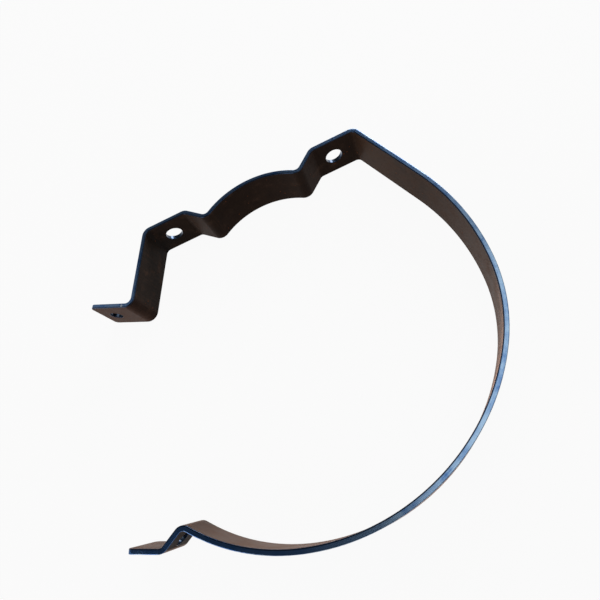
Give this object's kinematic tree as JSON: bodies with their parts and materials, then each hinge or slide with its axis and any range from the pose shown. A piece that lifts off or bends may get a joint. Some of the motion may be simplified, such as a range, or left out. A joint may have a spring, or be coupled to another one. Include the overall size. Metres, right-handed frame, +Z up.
{
  "type": "gas cylinder bracket",
  "caption": "Bent flat-bar bracket that screws to a wall by two flats and straps a gas cylinder, closed by a bolt through its foot tab and ear.",
  "frame": {"origin": "midway between the two screw holes, on the face that meets the wall and at half the bar's width", "axes": "+X from the foot tab's side to the strap's side along the screw flats, +Y towards the wall, +Z up across the bar's width"},
  "size_m": [0.2494, 0.2336, 0.0312],
  "materials": {
    "steel": "dark brown-black mill scale with blue-grey sheared edges"
  },
  "bodies": {
    "root": {"strap_bracket": "steel"}
  },
  "joints": []
}
